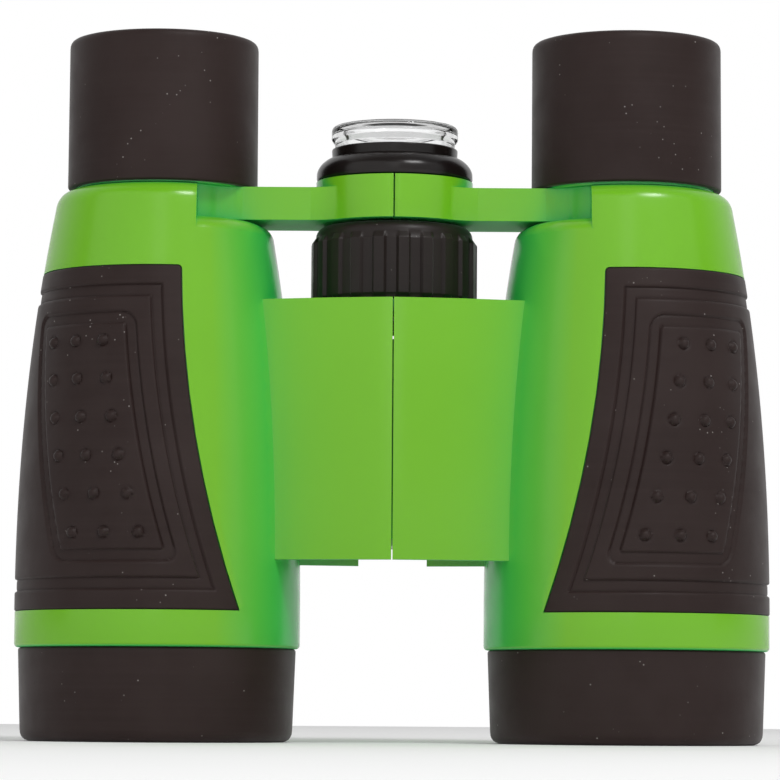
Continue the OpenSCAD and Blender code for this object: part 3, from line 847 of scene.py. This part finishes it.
INK_H = 0.03
INK_SINK = 0.01
INK_LINE = 0.16
TICKS = 36
TICK_END = 6.6
MAIN_TICK_START = 5.4
MIDDLE_TICK_START = 5.9
SHORT_TICK_START = 6.2
LETTER_PLACE = 4.1
LETTER_HALF_W = 0.5
LETTER_HALF_H = 0.65


def dial_ticks():
    """A tick every 10 degrees, longer every 30 and longest every 90."""
    ticks = []
    for k in range(TICKS):
        a = math.radians(360 / TICKS * k)
        start = SHORT_TICK_START
        if k % (TICKS // 4) == 0:
            start = MAIN_TICK_START
        elif k % (TICKS // 12) == 0:
            start = MIDDLE_TICK_START
        x = math.cos(a)
        y = math.sin(a)
        ticks.append((start * x, start * y, TICK_END * x, TICK_END * y))
    return ticks


def dial_letters():
    """N, E, S and W from straight strokes, each standing on its own side of the dial."""
    shapes = {
        "N": [(-1, -1, -1, 1), (-1, 1, 1, -1), (1, -1, 1, 1)],
        "E": [(-1, -1, -1, 1), (-1, 1, 1, 1), (-1, 0, 0.6, 0), (-1, -1, 1, -1)],
        "S": [(1, 1, -1, 1), (-1, 1, -1, 0), (-1, 0, 1, 0), (1, 0, 1, -1), (1, -1, -1, -1)],
        "W": [(-1, 1, -0.5, -1), (-0.5, -1, 0, 0.5), (0, 0.5, 0.5, -1), (0.5, -1, 1, 1)],
    }
    places = {"N": (0, LETTER_PLACE), "E": (LETTER_PLACE, 0),
              "S": (0, -LETTER_PLACE), "W": (-LETTER_PLACE, 0)}
    strokes = []
    for letter, (x, y) in places.items():
        for x1, y1, x2, y2 in shapes[letter]:
            strokes.append((x + LETTER_HALF_W * x1, y + LETTER_HALF_H * y1,
                            x + LETTER_HALF_W * x2, y + LETTER_HALF_H * y2))
    return strokes


marks = box_strokes("dial_marks", dial_ticks() + dial_letters(), INK_LINE,
                    DIAL_TOP - INK_SINK, DIAL_TOP + INK_H)
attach(marks, "left_eyepiece")
use(marks, ink)


# ---- Parts that keep their CAD mesh, with their edges rounded ----

for name in ("left_barrel", "right_barrel"):
    soften(name, 0.3)
for name in ("left_arm", "right_arm"):
    soften(name, 0.35)
for name in ("hinge_screw", "screw_nut", "wheel_clip"):
    soften(name, 0.08, 2)


# ---- Camera, light and floor ----

CAMERA_DISTANCE = 600 * MM
CAMERA_AZIMUTH = math.radians(0.3)
CAMERA_HEIGHT = 5.5 * MM
CAMERA_TILT = math.radians(6)
CAMERA_ROLL = math.radians(0.38)
FRAME_HEIGHT = 119.7 * MM
AIM_HEIGHT = 54.1 * MM
AIM_X = -0.6 * MM
SENSOR = 36
CLIP_START = 0.05
CLIP_END = 10


def make_camera():
    data = bpy.data.cameras.new("camera")
    camera = bpy.data.objects.new("camera", data)
    scene.collection.objects.link(camera)
    turn = Matrix.Rotation(CAMERA_AZIMUTH, 4, "Z")
    camera.location = turn @ Vector((AIM_X, -CAMERA_DISTANCE, CAMERA_HEIGHT))
    tilt = Matrix.Rotation(math.pi / 2 + CAMERA_TILT, 4, "X")
    roll = Matrix.Rotation(CAMERA_ROLL, 4, "Z")
    camera.rotation_mode = "QUATERNION"
    camera.rotation_quaternion = (turn @ tilt @ roll).to_quaternion()
    data.sensor_width = SENSOR
    data.lens = SENSOR * CAMERA_DISTANCE / FRAME_HEIGHT
    centre_z = CAMERA_HEIGHT + CAMERA_DISTANCE * math.tan(CAMERA_TILT)
    data.shift_y = (AIM_HEIGHT - centre_z) / FRAME_HEIGHT
    data.clip_start = CLIP_START
    data.clip_end = CLIP_END
    scene.camera = camera


def make_area_light(name, place, aim, size, power):
    """A white rectangular light at a place in metres, turned to the point it aims at."""
    data = bpy.data.lights.new(name, "AREA")
    data.shape = "RECTANGLE"
    data.size, data.size_y = size
    data.energy = power
    light = bpy.data.objects.new(name, data)
    scene.collection.objects.link(light)
    light.location = place
    light.rotation_mode = "QUATERNION"
    light.rotation_quaternion = (Vector(aim) - Vector(place)).to_track_quat("-Z", "Y")


# Brightness of the world in its parts
BACKDROP_LIGHT = 1.0
SURROUND_LIGHT = 0.8
ROOM_LIGHT = 0.22
LOW_LIGHT = 0.04
HIGH_LIGHT = 0.9
# Where the parts change into each other, as components of the direction of view
ROOM_END_Y = -0.3
SURROUND_START_Y = 0.6
SHEET_EDGE_Y = 0.88
SHEET_START_Y = 0.96
DARK_END_Z = -0.035
HORIZON_Z = -0.008
HIGH_START_Z = 0.3
HIGH_END_Z = 0.7


def make_world():
    """A white sheet straight behind the part, a dimmer room around it and darkness below the horizon."""
    world = bpy.data.worlds.new("studio")
    scene.world = world
    world.use_nodes = True
    tree = world.node_tree
    background = tree.nodes["Background"]
    coords = tree.nodes.new("ShaderNodeTexCoord")
    parts = tree.nodes.new("ShaderNodeSeparateXYZ")
    tree.links.new(coords.outputs["Generated"], parts.inputs["Vector"])

    def fade(axis, low, high, first, second):
        """Changes softly from one brightness to another along an axis."""
        node = tree.nodes.new("ShaderNodeMapRange")
        node.interpolation_type = "SMOOTHSTEP"
        node.inputs["From Min"].default_value = low
        node.inputs["From Max"].default_value = high
        node.inputs["To Min"].default_value = first
        node.inputs["To Max"].default_value = second
        tree.links.new(parts.outputs[axis], node.inputs["Value"])
        return node.outputs["Result"]

    def combine(operation, first, second):
        node = tree.nodes.new("ShaderNodeMath")
        node.operation = operation
        tree.links.new(first, node.inputs[0])
        tree.links.new(second, node.inputs[1])
        return node.outputs["Value"]

    room = fade("Y", ROOM_END_Y, SURROUND_START_Y, ROOM_LIGHT, SURROUND_LIGHT)
    sheet = fade("Y", SHEET_EDGE_Y, SHEET_START_Y, 0, BACKDROP_LIGHT)
    below = fade("Z", DARK_END_Z, HORIZON_Z, LOW_LIGHT, 1)
    above = fade("Z", HIGH_START_Z, HIGH_END_Z, 1, HIGH_LIGHT)
    strength = combine("MAXIMUM", room, sheet)
    strength = combine("MULTIPLY", strength, below)
    strength = combine("MULTIPLY", strength, above)
    background.inputs["Color"].default_value = (1, 1, 1, 1)
    tree.links.new(strength, background.inputs["Strength"])


# Places in metres, powers in watts
KEY_SIDE = 0.7
KEY_FRONT = -1.0
KEY_HEIGHT = 0.4
KEY_AIM = (0, 0, 0.05)
KEY_SIZE = (2.0, 2.0)
KEY_LEFT_POWER = 8.6
KEY_RIGHT_POWER = 7.0
HIGH_PLACE = (0.40, -0.55, 0.86)
HIGH_AIM = (0, 0, 0.06)
HIGH_SIZE = (0.3, 0.22)
HIGH_POWER = 3.9
FLOOR_R = 1.2
FLOOR_BACK = 0.5
FLOOR_CORNERS = 96


def make_floor():
    """A paper disc that ends a little behind the part, so that the backdrop stays in view."""
    g = Graph("floor_paper")
    g.set_colour(g.tone(g.noise(6, 2), FLOOR_TONES))
    g.set(Roughness=FLOOR_ROUGHNESS)
    bpy.ops.mesh.primitive_circle_add(vertices=FLOOR_CORNERS, radius=FLOOR_R, fill_type="NGON",
                                      location=(0, FLOOR_BACK - FLOOR_R, 0))
    floor = bpy.context.object
    floor.name = "floor"
    use(floor, g.material)


make_camera()
make_world()
make_area_light("key_left", (-KEY_SIDE, KEY_FRONT, KEY_HEIGHT), KEY_AIM, KEY_SIZE, KEY_LEFT_POWER)
make_area_light("key_right", (KEY_SIDE, KEY_FRONT, KEY_HEIGHT), KEY_AIM, KEY_SIZE, KEY_RIGHT_POWER)
make_area_light("high_light", HIGH_PLACE, HIGH_AIM, HIGH_SIZE, HIGH_POWER)
scene.view_settings.view_transform = "Standard"
make_floor()
